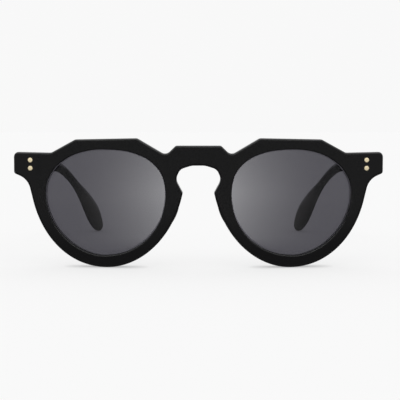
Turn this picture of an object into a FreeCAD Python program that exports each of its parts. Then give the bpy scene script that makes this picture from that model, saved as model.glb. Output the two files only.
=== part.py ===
import FreeCAD, Part
import Sketcher
import math
import os

# Round acetate sunglasses, open, standing on the lower rims and the temple tips.
# Millimetres. +Z is up, the front faces -Y and +X is the wearer's left.
# The origin lies on the ground, midway between the front and the temple tips.

Vector = FreeCAD.Vector
Rotation = FreeCAD.Rotation

doc = FreeCAD.newDocument("sunglasses")

# Driving dimensions, one name for each size that can be set by itself.
SIZES = [
    ("front_width", 143.0, "over both end pieces"),
    ("front_thickness", 5.5, "acetate sheet of the front"),
    ("bend_radius", 350.0, "curve of the front seen from above"),
    ("bridge_gap", 25.0, "between the two lens openings"),
    ("opening_reach_nasal", 23.95, "lens opening, from its lowest point towards the nose"),
    ("opening_reach_temporal", 22.75, "lens opening, from its lowest point towards the temple"),
    ("opening_rise", 17.25, "lens opening above its widest line"),
    ("opening_drop", 23.45, "lens opening below its widest line"),
    ("rim_bottom", 4.53, "acetate below the lens opening"),
    ("rim_margin_nasal", 7.37, "nasal edge of the opening to the rim arc's reach"),
    ("rim_margin_temporal", 6.17, "temporal edge of the opening to the rim arc's reach"),
    ("rim_arc_rise", 9.44, "centre of the lower rim arc above the widest line"),
    ("rim_temporal_join", 2.2, "rim arc's temporal end below the widest line"),
    ("rim_nasal_join", 0.9, "rim arc's nasal end below the widest line"),
    ("crown_rim_inner", 4.36, "acetate above the opening, at the crown's nasal corner"),
    ("crown_rim_outer", 3.88, "acetate above the opening, at the crown's temporal corner"),
    ("crown_reach_inner", 13.06, "crown's nasal corner from the lens centre"),
    ("crown_reach_outer", 10.77, "crown's temporal corner from the lens centre"),
    ("shoulder_reach", 20.24, "foot of the crown's slope from the lens centre"),
    ("crown_radius", 2.2, "rounding of the crown's corners"),
    ("shoulder_drop", 0.28, "foot of the crown's slope below the end piece's outer corner"),
    ("shoulder_radius", 2.5, "rounding at the foot of the crown's slope"),
    ("end_piece_rise", 16.26, "top of the end piece above the widest line"),
    ("end_piece_height", 8.25, "outer edge of the end piece"),
    ("end_piece_thickness", 3.9, "outer edge of the end piece, front to back"),
    ("end_piece_radius_upper", 1.88, "rounding of the end piece's upper corner"),
    ("end_piece_radius_lower", 1.1, "rounding of the end piece's lower corner"),
    ("underside_run", 8.06, "underside's inner corner from the rim arc's temporal end, along its tangent"),
    ("underside_radius", 6.9, "where the underside runs into the rim"),
    ("notch_inset", 0.12, "bottom of the brow notch from the opening's nasal edge"),
    ("notch_rise", 15.15, "bottom of the brow notch above the widest line"),
    ("notch_radius", 2.54, "rounding of the brow notch"),
    ("bridge_corner_inset", 3.87, "bridge's top corner from the opening's nasal edge"),
    ("bridge_top_rise", 18.79, "top of the bridge above the widest line"),
    ("bridge_radius", 1.2, "rounding of the bridge's top corners"),
    ("keyhole_corner_rise", 0.71, "corner below the keyhole above the widest line"),
    ("keyhole_corner_radius", 1.3, "rounding of the corner below the keyhole"),
    ("keyhole_waist_inset", 3.78, "keyhole's widest point from the opening's nasal edge"),
    ("keyhole_waist_rise", 5.87, "keyhole's widest point above the widest line"),
    ("keyhole_shoulder_inset", 5.48, "keyhole's shoulder from the opening's nasal edge"),
    ("keyhole_shoulder_rise", 9.76, "keyhole's shoulder above the widest line"),
    ("keyhole_arch_inset", 9.98, "end of the keyhole's arch from the opening's nasal edge"),
    ("keyhole_top_rise", 11.16, "top of the keyhole above the widest line"),
    ("keyhole_radius", 3.4, "rounding inside the keyhole"),
    ("keyhole_arch_radius", 7.0, "rounding at the ends of the keyhole's arch"),
    ("front_edge_radius", 0.9, "polished front edges of the front"),
    ("rear_edge_radius", 0.7, "polished rear edges of the front"),
    ("opening_edge_radius", 0.35, "polished edges of the lens openings"),
    ("lens_radius", 132.0, "sphere of the lens's front surface"),
    ("lens_thickness", 2.0, "lens, centre and edge"),
    ("lens_depth", 0.6, "lens's front behind the front's face, at the lens centre"),
    ("bevel_depth", 0.6, "lens bevel in the rim groove"),
    ("bevel_width", 0.9, "lens bevel, front to back"),
    ("lens_gap", 0.03, "lens to rim"),
    ("pad_length", 13.5, "nose pad, along the rim"),
    ("pad_width", 4.0, "nose pad, across the rim"),
    ("pad_depth", 4.6, "nose pad behind the rim"),
    ("pad_drop", 7.0, "nose pad's middle below the widest line"),
    ("pad_inset", 4.0, "nose pad's middle from the opening's nasal edge, towards the nose"),
    ("pad_lean", 19.0, "degrees, nose pad away from upright"),
    ("pad_splay", 24.0, "degrees, nose pad's ridge turned away from the nose"),
    ("temple_length", 144.7, "along the centre line, from the end piece to the tip"),
    ("temple_inset", 0.6, "temple's outer face from the end piece's outer edge"),
    ("temple_drop", 0.515, "temple's centre line below the end piece's middle"),
    ("temple_thickness", 3.8, "at the hinge"),
    ("temple_tip_thickness", 3.1, "behind the bend"),
    ("temple_height", 7.8, "at the hinge"),
    ("temple_waist_height", 4.7, "at the ear bend"),
    ("temple_tip_height", 9.1, "at the tip"),
    ("temple_tip_round", 11.2, "length of the tip's rounding"),
    ("temple_tip_widening", 6.0, "end of the widening, from the tip"),
    ("temple_fall", 3.15, "degrees, centre line down towards the ear"),
    ("temple_toe", 1.54, "degrees, centre line in towards the head"),
    ("bow_start", 54.0, "where the temple starts to bow in"),
    ("bow_angle", 25.0, "degrees, inwards at the tip"),
    ("bend_start", 72.9, "where the ear bend starts"),
    ("bend_angle", 42.5, "degrees, ear bend"),
    ("bend_arc_radius", 70.0, "ear bend"),
    ("butt_gap", 0.25, "end piece to the temple's end"),
    ("leaf_thickness", 0.9, "hinge leaves"),
    ("leaf_sink", 0.4, "hinge leaves set into the acetate"),
    ("leaf_gap", 0.02, "hinge leaves to their seats"),
    ("leaf_corner_radius", 1.2, "free corners of the hinge leaves"),
    ("front_leaf_reach", 4.6, "front leaf from the pin towards the nose"),
    ("temple_leaf_length", 11.0, "temple leaf behind the knuckles"),
    ("hinge_inset", 0.4, "pin's axis from the temple's inner face, outwards"),
    ("hinge_drop", 0.61, "hinge's middle below the end piece's middle"),
    ("knuckle_radius", 1.5, "hinge knuckles"),
    ("knuckle_height", 1.45, "one hinge knuckle"),
    ("knuckle_gap", 0.06, "between neighbouring knuckles"),
    ("knuckle_clearance", 0.22, "knuckles to whatever passes them"),
    ("pin_radius", 0.7, "hinge screw's shank"),
    ("pin_clearance", 0.03, "hinge screw to its bore"),
    ("screw_head_radius", 1.25, "hinge screw"),
    ("screw_head_height", 0.7, "hinge screw"),
    ("screw_head_gap", 0.02, "hinge screw's head to the upper knuckle"),
    ("screw_slot_width", 0.35, "hinge screw"),
    ("screw_slot_depth", 0.35, "hinge screw"),
    ("screw_tip_length", 0.4, "hinge screw below the last knuckle"),
    ("rivet_offset", 2.62, "front rivets from the pin's axis, towards the nose"),
    ("rivet_spacing", 3.15, "between the two front rivets"),
    ("rivet_shank_radius", 0.6, "rivets"),
    ("rivet_head_radius", 0.95, "rivets"),
    ("rivet_head_height", 0.6, "rivets"),
    ("rivet_proud", 0.2, "rivet heads above the acetate"),
    ("rivet_tail_radius", 0.9, "peened rivet tails"),
    ("rivet_tail_height", 0.25, "peened rivet tails"),
    ("rivet_rounding", 0.18, "edges of the rivet heads"),
    ("rivet_gap", 0.01, "rivets to their holes"),
    ("temple_rivet_front_offset", 4.6, "first temple rivet behind the pin's axis"),
    ("temple_rivet_rear_offset", 9.4, "second temple rivet behind the pin's axis"),
    ("core_radius", 0.65, "core wire"),
    ("core_start", 16.5, "core wire's end, along the temple"),
    ("core_tip_margin", 12.0, "core wire's end from the tip"),
    ("core_gap", 0.02, "core wire to the acetate"),
]

OPENING_POWERS = {"upper_temporal": 2.09, "upper_nasal": 2.40, "lower_temporal": 1.86, "lower_nasal": 2.06}
RIM_POWERS = {"temporal": 2.08, "nasal": 1.97}
TEMPLE_POWER = 2.7
PAD_POWER = 2.2

# The temple's centre line is worked out in this many steps.
PATH_STEPS = 240
# Sections of the temple and the nose pad, as shares of their length, and of the temple's rounded tip.
TEMPLE_STATIONS = (0, 0.08, 0.18, 0.27, 0.37, 0.47, 0.55, 0.63, 0.71, 0.78, 0.85, 0.89)
TIP_STATIONS = (1, 0.72, 0.47, 0.27, 0.12, 0.04, 0.012)
PAD_STATIONS = (-1.0, -0.94, -0.78, -0.5, -0.15, 0.25, 0.6, 0.86, 0.97, 1.0)
# A pad's end sections keep a little of its fullness, and its middle plane lies this far inside the rim.
PAD_END_FULLNESS = 0.97
PAD_FOOT = 0.4
# An edge counts as lying on a face within this distance.
TOUCH = 0.01

sheet = doc.addObject("Spreadsheet::Sheet", "Sizes")
for row, (alias, value, note) in enumerate(SIZES, start=1):
    sheet.set("A%d" % row, alias)
    sheet.set("B%d" % row, str(value))
    sheet.set("C%d" % row, note)
    sheet.setAlias("B%d" % row, alias)
doc.recompute()


def size(alias):
    """The value of a driving dimension."""
    return float(sheet.get(alias))


def smooth(share):
    """0 to 1 with level ends, for a share between 0 and 1."""
    share = min(max(share, 0.0), 1.0)
    return share * share * (3.0 - 2.0 * share)


def round_end(distance, length):
    """Height share of an elliptical end, at a distance from its tip."""
    share = min(max(distance / length, 0.0), 1.0)
    return math.sqrt(1.0 - (1.0 - share) ** 2)


class Station:
    """A point of a temple's centre line with the section's axes and half sizes."""

    def __init__(self, along, point, heading, pitch):
        self.along = along
        self.point = point
        self.side = Vector(math.cos(heading), math.sin(heading), 0)
        ahead = Vector(-math.sin(heading) * math.cos(pitch), math.cos(heading) * math.cos(pitch),
                       -math.sin(pitch))
        self.ahead = ahead
        self.up = self.side.cross(ahead)
        waist = size("bend_start") + math.radians(size("bend_angle")) * size("bend_arc_radius") / 2
        left = size("temple_length") - along
        front_share = min(along / waist, 1.0)
        height = size("temple_height") + (size("temple_waist_height") - size("temple_height")) * front_share
        widening = size("temple_length") - size("temple_tip_widening") - waist
        tip_growth = size("temple_tip_height") - size("temple_waist_height")
        height += tip_growth * smooth((along - waist) / widening)
        thickness = size("temple_thickness")
        thickness += (size("temple_tip_thickness") - thickness) * front_share
        self.half_height = height / 2 * round_end(left, size("temple_tip_round"))
        self.half_thickness = thickness / 2 * round_end(left, thickness / 2)

    def at(self, side, up):
        return self.point + self.side * side + self.up * up


def temple_stations(start):
    """The centre line: it falls a little, then bends down over the ear while it bows inwards.

    The pitch is constant, then grows along an arc to the ear bend's angle. The heading is
    constant, then grows evenly to the tip.
    """
    length = size("temple_length")
    step = length / PATH_STEPS
    bend_length = math.radians(size("bend_angle")) * size("bend_arc_radius")
    point = Vector(start)
    stations = []
    for index in range(PATH_STEPS + 1):
        along = index * step
        bend = min(max((along - size("bend_start")) / bend_length, 0.0), 1.0)
        bow = min(max((along - size("bow_start")) / (length - size("bow_start")), 0.0), 1.0)
        pitch = math.radians(size("temple_fall") + size("bend_angle") * bend)
        heading = math.radians(size("temple_toe") + (size("bow_angle") - size("temple_toe")) * bow)
        station = Station(along, point, heading, pitch)
        stations.append(station)
        point = point + station.ahead * step
    return stations


# Places that follow from the driving dimensions.
widest_line = size("rim_bottom") + size("opening_drop")
opening_edge = size("bridge_gap") / 2
lens_x = opening_edge + size("opening_reach_nasal")
end_x = size("front_width") / 2
end_top = widest_line + size("end_piece_rise")
end_middle = end_top - size("end_piece_height") / 2


def sag(x):
    """How far the front's face lies behind its foremost line, at x."""
    return size("bend_radius") - math.sqrt(size("bend_radius") ** 2 - x * x)


end_depth = sag(end_x) + size("end_piece_thickness")
temple_x = end_x - size("temple_inset") - size("temple_thickness") / 2
temple_z = end_middle - size("temple_drop")
local_path = temple_stations(Vector(temple_x, end_depth, temple_z))
overall_depth = max(station.point.y + station.half_height * abs(station.up.y) for station in local_path)
front_y = -overall_depth / 2
path = temple_stations(Vector(temple_x, front_y + end_depth, temple_z))

# The same places as cells, so that the hardware's expressions can use them.
HARDWARE_PLACES = [
    ("front_plane", str(front_y)),
    ("end_plane", str(front_y + end_depth)),
    ("end_middle", str(end_middle)),
    ("temple_face", "=Sizes.front_width / 2 - Sizes.temple_inset - Sizes.temple_thickness"),
    ("leaf_proud", "=Sizes.leaf_thickness - Sizes.leaf_sink"),
    ("hinge_x", "=temple_face + Sizes.hinge_inset"),
    ("hinge_y", "=end_plane + leaf_proud + Sizes.knuckle_clearance + Sizes.knuckle_radius"),
    ("hinge_z", "=end_middle - Sizes.hinge_drop"),
    ("knuckle_pitch", "=Sizes.knuckle_height + Sizes.knuckle_gap"),
    ("hinge_height", "=5 * Sizes.knuckle_height + 4 * Sizes.knuckle_gap"),
    ("hinge_base", "=hinge_z - hinge_height / 2"),
    ("front_rivet_x", "=hinge_x - Sizes.rivet_offset"),
    ("temple_leaf_start", "=hinge_y + Sizes.knuckle_radius + Sizes.knuckle_clearance"),
    ("cut_reach", "=4 * Sizes.front_thickness"),
]
places = doc.addObject("Spreadsheet::Sheet", "Places")
for row, (alias, content) in enumerate(HARDWARE_PLACES, start=1):
    places.set("A%d" % row, alias)
    places.set("B%d" % row, content)
    places.setAlias("B%d" % row, alias)
doc.recompute()


def place(alias):
    """The value of a derived place."""
    return float(places.get(alias))


def feature(name, shape):
    """An object that holds a computed shape."""
    item = doc.addObject("Part::Feature", name)
    item.Shape = shape
    return item


def bind(item, **expressions):
    """Bind properties to the sheets; x, y and z stand for the placement's base."""
    for key, expression in expressions.items():
        target = "Placement.Base." + key if key in ("x", "y", "z") else key
        item.setExpression(target, expression)
    return item


def block(name, **expressions):
    """A box whose sides and lowest corner are bound."""
    return bind(doc.addObject("Part::Box", name), **expressions)


def rod(name, axis=Vector(0, 0, 1), **expressions):
    """A cylinder along an axis, whose radius, height and foot are bound."""
    item = doc.addObject("Part::Cylinder", name)
    item.Placement = FreeCAD.Placement(Vector(), Rotation(Vector(0, 0, 1), axis))
    return bind(item, **expressions)


def fuse(name, parts):
    item = doc.addObject("Part::MultiFuse", name)
    item.Shapes = parts
    return item


def cut(name, base, tools):
    """The base without the tools."""
    item = doc.addObject("Part::Cut", name)
    item.Base = base
    item.Tool = tools[0] if len(tools) == 1 else fuse(name + "_tools", tools)
    return item


def superellipse(angle, reach_x, reach_z, power):
    """Point of |x/a|^p + |z/b|^p = 1 at a parameter angle."""
    cosine, sine = math.cos(angle), math.sin(angle)
    x = math.copysign(reach_x * abs(cosine) ** (2 / power), cosine)
    z = math.copysign(reach_z * abs(sine) ** (2 / power), sine)
    return x, z


def opening_wire(grow):
    """The lens opening about its own centre, grown all round: four quarter superellipses."""
    count = 32
    points = []
    for index in range(count):
        angle = 2 * math.pi * index / count
        temporal = math.cos(angle) >= 0
        upper = math.sin(angle) >= 0
        reach_x = size("opening_reach_temporal" if temporal else "opening_reach_nasal") + grow
        reach_z = size("opening_rise" if upper else "opening_drop") + grow
        power = OPENING_POWERS[("upper_" if upper else "lower_") + ("temporal" if temporal else "nasal")]
        x, z = superellipse(angle, reach_x, reach_z, power)
        points.append(Vector(x, 0, z))
    curve = Part.BSplineCurve()
    curve.interpolate(Points=points, PeriodicFlag=True)
    return Part.Wire(curve.toShape())


def to_lens(shape):
    """Move a shape from the lens's own frame to its place in the front for +X.

    The lens sits square to the bent front, so its frame turns by the bend's angle there.
    """
    shape = shape.copy()
    wrap = math.asin(lens_x / size("bend_radius"))
    shape.rotate(Vector(), Vector(0, 0, 1), math.degrees(wrap))
    shape.translate(Vector(lens_x, front_y + sag(lens_x), widest_line))
    return shape


def lens_prism(grow):
    """The opening's outline as a prism through the front, in the lens's frame."""
    reach = 4 * size("front_thickness")
    face = Part.Face(opening_wire(grow))
    face.translate(Vector(0, -reach / 2, 0))
    return face.extrude(Vector(0, 2 * reach, 0))


def lens_shell(front_offset, thickness):
    """Layer between two concentric spheres, its front set back from the lens's front surface."""
    radius = size("lens_radius")
    centre = Vector(0, size("lens_depth") + radius, 0)
    outer = Part.makeSphere(radius - front_offset, centre)
    return outer.cut(Part.makeSphere(radius - front_offset - thickness, centre))


def corner_arc(before, corner, after, radius):
    """The arc that rounds a corner, as its two ends and its middle."""
    back = (before - corner).normalize()
    ahead = (after - corner).normalize()
    half = back.getAngle(ahead) / 2
    reach = radius / math.tan(half)
    inward = (back + ahead).normalize()
    middle = corner + inward * (radius / math.sin(half) - radius)
    return corner + back * reach, middle, corner + ahead * reach


def rounded_edges(points):
    """Straight runs between (point, radius) pairs, with an arc at each corner that has a radius."""
    edges = []
    current = points[0][0]
    for index in range(1, len(points) - 1):
        corner, radius = points[index]
        start, middle, end = corner_arc(points[index - 1][0], corner, points[index + 1][0], radius)
        edges.append(Part.LineSegment(current, start).toShape())
        edges.append(Part.Arc(start, middle, end).toShape())
        current = end
    edges.append(Part.LineSegment(current, points[-1][0]).toShape())
    return edges


def rim_arc():
    """The lower rim as a superellipse that touches the ground, from temporal to nasal end.

    Returns the curve and its end points with their directions.
    """
    nasal_x = opening_edge - size("rim_margin_nasal")
    temporal_x = (opening_edge + size("opening_reach_nasal") + size("opening_reach_temporal")
                  + size("rim_margin_temporal"))
    centre_x = (nasal_x + temporal_x) / 2
    centre_z = widest_line + size("rim_arc_rise")
    reach_x = (temporal_x - nasal_x) / 2

    def angle_at(height, part):
        return math.asin(((centre_z - height) / centre_z) ** (RIM_POWERS[part] / 2))

    def point_at(angle):
        power = RIM_POWERS["temporal" if math.cos(angle) >= 0 else "nasal"]
        x, z = superellipse(-angle, reach_x, centre_z, power)
        return Vector(centre_x + x, 0, centre_z + z)

    def direction_at(angle):
        return (point_at(angle + 0.001) - point_at(angle - 0.001)).normalize()

    first = angle_at(widest_line - size("rim_temporal_join"), "temporal")
    last = math.pi - angle_at(widest_line - size("rim_nasal_join"), "nasal")
    count = 14
    points = [point_at(first + (last - first) * index / count) for index in range(count + 1)]
    curve = Part.BSplineCurve()
    curve.interpolate(Points=points, InitialTangent=direction_at(first), FinalTangent=direction_at(last))
    return curve, points[0], direction_at(first), points[-1], direction_at(last)


def front_outline():
    """Closed outline of the front in the XZ plane, symmetric about X = 0."""
    curve, temporal_end, temporal_way, nasal_end, nasal_way = rim_arc()
    end_low = Vector(end_x, 0, end_top - size("end_piece_height"))
    underside = temporal_end - temporal_way * size("underside_run")
    opening_top = widest_line + size("opening_rise")
    crown_inner = Vector(lens_x - size("crown_reach_inner"), 0, opening_top + size("crown_rim_inner"))
    crown_outer = Vector(lens_x + size("crown_reach_outer"), 0, opening_top + size("crown_rim_outer"))
    shoulder = Vector(lens_x + size("shoulder_reach"), 0, end_top - size("shoulder_drop"))
    notch = Vector(opening_edge - size("notch_inset"), 0, widest_line + size("notch_rise"))
    bridge_top = widest_line + size("bridge_top_rise")
    upper = [
        (Vector(0, 0, bridge_top), 0),
        (Vector(opening_edge - size("bridge_corner_inset"), 0, bridge_top), size("bridge_radius")),
        (notch, size("notch_radius")),
        (crown_inner, size("crown_radius")),
        (crown_outer, size("crown_radius")),
        (shoulder, size("shoulder_radius")),
        (Vector(end_x, 0, end_top), size("end_piece_radius_upper")),
        (end_low, size("end_piece_radius_lower")),
        (underside, size("underside_radius")),
        (temporal_end, 0),
    ]
    corner_run = (widest_line + size("keyhole_corner_rise") - nasal_end.z) / nasal_way.z
    keyhole_top = widest_line + size("keyhole_top_rise")
    waist = Vector(opening_edge - size("keyhole_waist_inset"), 0, widest_line + size("keyhole_waist_rise"))
    keyhole_shoulder = Vector(opening_edge - size("keyhole_shoulder_inset"), 0,
                              widest_line + size("keyhole_shoulder_rise"))
    lower = [
        (nasal_end, 0),
        (nasal_end + nasal_way * corner_run, size("keyhole_corner_radius")),
        (waist, size("keyhole_radius")),
        (keyhole_shoulder, size("keyhole_radius")),
        (Vector(opening_edge - size("keyhole_arch_inset"), 0, keyhole_top), size("keyhole_arch_radius")),
        (Vector(0, 0, keyhole_top), 0),
    ]
    half = rounded_edges(upper) + [curve.toShape()] + rounded_edges(lower)
    mirrored = [edge.mirror(Vector(), Vector(1, 0, 0)) for edge in half]
    return Part.Wire(Part.__sortEdges__(half + mirrored))


def edges_at_depth(shape, distance):
    """Edges of a shape whose middle lies at a depth behind the front's bent face."""
    found = []
    for edge in shape.Edges:
        middle = edge.valueAt((edge.FirstParameter + edge.LastParameter) / 2)
        centre = Vector(0, front_y + size("bend_radius"), middle.z)
        depth = size("bend_radius") - middle.distanceToPoint(centre)
        if abs(depth - distance) < TOUCH:
            found.append(edge)
    return found


def bend_cylinder(depth):
    """The upright cylinder whose wall is the front's face, moved back by a depth."""
    radius = size("bend_radius")
    foot = Vector(0, front_y + radius, -size("front_thickness"))
    return Part.makeCylinder(radius - depth, 3 * widest_line, foot)


def bent_sheet():
    """The front's blank: its outline cut from a sheet that is bent about a vertical axis."""
    thickness = size("front_thickness")
    blank = Part.Face(front_outline())
    blank.translate(Vector(0, front_y - thickness, 0))
    blank = blank.extrude(Vector(0, sag(end_x) + 3 * thickness, 0))
    blank = blank.common(bend_cylinder(0).cut(bend_cylinder(thickness))).Solids[0]
    blank = blank.makeFillet(size("front_edge_radius"), edges_at_depth(blank, 0))
    return blank.makeFillet(size("rear_edge_radius"), edges_at_depth(blank, thickness))


def mirror_x(shape):
    return shape.mirror(Vector(), Vector(1, 0, 0))


def rim_groove():
    """The groove in the rim, wider and deeper than the lens's bevel by the gap."""
    gap = size("lens_gap")
    middle = size("lens_thickness") / 2
    layer = lens_shell(middle - size("bevel_width") / 2 - gap, size("bevel_width") + 2 * gap)
    return to_lens(lens_prism(size("bevel_depth") + gap).common(layer))


def opened_front():
    """The bent sheet with both lens openings, their grooves and rounded edges."""
    shape = bent_sheet()
    opening = to_lens(lens_prism(0))
    shape = shape.cut(opening).cut(mirror_x(opening))
    rims = edges_at_depth(shape, 0) + edges_at_depth(shape, size("front_thickness"))
    shape = shape.makeFillet(size("opening_edge_radius"), [edge for edge in rims if edge.isClosed()])
    groove = rim_groove()
    return shape.cut(groove).cut(mirror_x(groove))


def lens_shape():
    """A spherical plano lens with a bevel all round its edge."""
    middle = size("lens_thickness") / 2
    body = lens_prism(-size("lens_gap")).common(lens_shell(0, size("lens_thickness")))
    layer = lens_shell(middle - size("bevel_width") / 2, size("bevel_width"))
    bevel = lens_prism(size("bevel_depth")).common(layer)
    return to_lens(body.fuse(bevel).removeSplitter())


def blend_loft(wires):
    """One smooth solid through closed sections."""
    return Part.makeLoft(wires, True, False)


def section_wire(centre, side, up, half_side, half_up, power):
    """A superellipse section in the plane of two axes."""
    count = 20
    points = []
    for index in range(count):
        a, b = superellipse(2 * math.pi * index / count, half_side, half_up, power)
        points.append(centre + side * a + up * b)
    curve = Part.BSplineCurve()
    curve.interpolate(Points=points, PeriodicFlag=True)
    return Part.Wire(curve.toShape())


def nose_pad():
    """A pad like half an almond on the back of the nasal rim, its ridge turned outwards."""
    thickness = size("front_thickness")
    lean = math.radians(size("pad_lean"))
    splay = math.radians(size("pad_splay"))
    middle = Vector(opening_edge - size("pad_inset"), 0, widest_line - size("pad_drop"))
    middle = middle + Vector(size("pad_drop") * math.tan(lean), 0, 0)
    along = Vector(-math.sin(lean), 0, math.cos(lean))
    side = Vector(math.cos(splay), -math.sin(splay), 0)
    back = Vector(math.sin(splay), math.cos(splay), 0)
    wires = []
    for share in PAD_STATIONS:
        point = middle + along * (size("pad_length") / 2 * share)
        fullness = math.sqrt(1.0 - (share * PAD_END_FULLNESS) ** 2)
        point.y = front_y + sag(point.x) + thickness - PAD_FOOT
        half_width = size("pad_width") / 2 * fullness
        half_depth = (size("pad_depth") + PAD_FOOT) * fullness
        wires.append(section_wire(point, side, back, half_width, half_depth, PAD_POWER))
    return blend_loft(wires).common(bend_cylinder(thickness))


def temple_blank():
    """The temple without its cuts: superellipse sections along the centre line."""
    length = size("temple_length")
    stations = [path[round(share * PATH_STEPS)] for share in TEMPLE_STATIONS]
    stations += [tip_station(length - size("temple_tip_round") * share) for share in TIP_STATIONS]
    wires = []
    for station in stations:
        wires.append(section_wire(station.point, station.side, station.up, station.half_thickness,
                                  station.half_height, TEMPLE_POWER))
    return blend_loft(wires)


def tip_station(mark):
    """A point of the centre line near the tip, where the line runs straight."""
    last = path[-1]
    point = last.point - last.ahead * (size("temple_length") - mark)
    return Station(mark, point, math.radians(size("bow_angle")),
                   math.radians(size("temple_fall") + size("bend_angle")))


def core_path():
    """The core wire's centre line, a spline through the temple's own."""
    end = size("temple_length") - size("core_tip_margin")
    inside = [station.point for station in path if size("core_start") <= station.along <= end]
    points = inside[::12]
    curve = Part.BSplineCurve()
    curve.interpolate(points)
    return Part.Wire(curve.toShape())


def core_wire(radius):
    """A round wire of a radius along the core's path."""
    spine = core_path()
    edge = spine.Edges[0]
    start = edge.valueAt(edge.FirstParameter)
    way = edge.tangentAt(edge.FirstParameter)
    ring = Part.Wire(Part.makeCircle(radius, start, way))
    return spine.makePipeShell([ring], True, False)


# The hinge: five knuckles on one pin, the first, third and fifth on the front leaf.
def knuckle_base(index):
    return "Places.hinge_base + %d * Places.knuckle_pitch" % index


def leaf_knuckle(name, index, neck):
    """One knuckle with the neck that joins it to its leaf."""
    barrel = rod("%s_knuckle_%d" % (name, index),
                 Radius="Sizes.knuckle_radius", Height="Sizes.knuckle_height",
                 x="Places.hinge_x", y="Places.hinge_y", z=knuckle_base(index))
    arm = block("%s_neck_%d" % (name, index), Height="Sizes.knuckle_height", z=knuckle_base(index), **neck)
    return [barrel, arm]


FRONT_NECK = {
    "Length": "2 * Sizes.knuckle_radius",
    "Width": "Sizes.knuckle_radius + Sizes.knuckle_clearance + Sizes.leaf_thickness / 2",
    "x": "Places.hinge_x - Sizes.knuckle_radius",
    "y": "Places.end_plane + Places.leaf_proud - Sizes.leaf_thickness / 2",
}
TEMPLE_NECK = {
    "Length": "Sizes.leaf_thickness",
    "Width": "2 * Sizes.knuckle_radius + Sizes.knuckle_clearance",
    "x": "Places.temple_face + Sizes.leaf_sink - Sizes.leaf_thickness",
    "y": "Places.hinge_y",
}

Y_AXIS = Vector(0, 1, 0)
X_AXIS = Vector(1, 0, 0)
RIVET_SIDES = {"upper": "+ Sizes.rivet_spacing / 2", "lower": "- Sizes.rivet_spacing / 2"}
TEMPLE_RIVETS = {"front": "Sizes.temple_rivet_front_offset", "rear": "Sizes.temple_rivet_rear_offset"}


def hinge_bore(name):
    return rod(name, Radius="Sizes.pin_radius + Sizes.pin_clearance", Height="2 * Places.hinge_height",
               x="Places.hinge_x", y="Places.hinge_y", z="Places.hinge_base - Places.hinge_height / 2")


def front_rivet_hole(name, side, radius):
    """A hole for a front rivet, right through from the face to behind the leaf."""
    return rod(name, Y_AXIS, Radius=radius + " + Sizes.rivet_gap", Height="Places.cut_reach",
               x="Places.front_rivet_x", y="Places.front_plane", z="Places.hinge_z " + RIVET_SIDES[side])


def temple_rivet_hole(name, which, radius):
    return rod(name, X_AXIS, Radius=radius + " + Sizes.rivet_gap", Height="Places.cut_reach",
               x="Places.temple_face - Sizes.temple_thickness",
               y="Places.hinge_y + " + TEMPLE_RIVETS[which], z="Places.hinge_z")


def rounded_corners(name, source, corners):
    """A copy of a leaf whose corners, listed as upright or level edges, are rounded."""
    doc.recompute()
    item = doc.addObject("Part::Fillet", name)
    item.Base = source
    radius = size("leaf_corner_radius")
    item.Edges = [(number, radius, radius) for number in corners(source.Shape)]
    return item


def front_leaf():
    """Plate on the back of the end piece, with three knuckles at its outer edge."""
    plate = block("front_leaf_plate", Length="Sizes.front_leaf_reach + Sizes.knuckle_radius",
                  Width="Sizes.leaf_thickness", Height="Places.hinge_height",
                  x="Places.hinge_x - Sizes.front_leaf_reach",
                  y="Places.end_plane - Sizes.leaf_sink", z="Places.hinge_base")

    def inner_corners(shape):
        inner = shape.BoundBox.XMin
        return [n for n, edge in enumerate(shape.Edges, 1)
                if abs(edge.BoundBox.XMax - inner) < TOUCH and edge.BoundBox.YLength > TOUCH]

    plate = rounded_corners("front_leaf_rounded", plate, inner_corners)
    parts = [plate]
    for index in (0, 2, 4):
        parts += leaf_knuckle("front_leaf", index, FRONT_NECK)
    solid = fuse("front_leaf_solid", parts)
    holes = [hinge_bore("front_leaf_bore")]
    for side in RIVET_SIDES:
        holes.append(front_rivet_hole("front_leaf_hole_" + side, side, "Sizes.rivet_shank_radius"))
    return cut("left_front_hinge", solid, holes)


def temple_leaf():
    """Plate on the temple's inner face, with two knuckles at its front edge."""
    plate = block("temple_leaf_plate", Length="Sizes.leaf_thickness", Width="Sizes.temple_leaf_length",
                  Height="Places.hinge_height - 2 * Sizes.knuckle_height",
                  x="Places.temple_face + Sizes.leaf_sink - Sizes.leaf_thickness",
                  y="Places.temple_leaf_start", z="Places.hinge_base + Sizes.knuckle_height")

    def rear_corners(shape):
        rear = shape.BoundBox.YMax
        return [n for n, edge in enumerate(shape.Edges, 1)
                if abs(edge.BoundBox.YMin - rear) < TOUCH and edge.BoundBox.XLength > TOUCH]

    plate = rounded_corners("temple_leaf_rounded", plate, rear_corners)
    parts = [plate]
    for index in (1, 3):
        parts += leaf_knuckle("temple_leaf", index, TEMPLE_NECK)
    solid = fuse("temple_leaf_solid", parts)
    holes = [hinge_bore("temple_leaf_bore")]
    for which in TEMPLE_RIVETS:
        holes.append(temple_rivet_hole("temple_leaf_hole_" + which, which, "Sizes.rivet_shank_radius"))
    return cut("left_temple_hinge", solid, holes)


def origin_plane(body, role):
    return next(item for item in body.Origin.OriginFeatures if item.Role == role)


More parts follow.
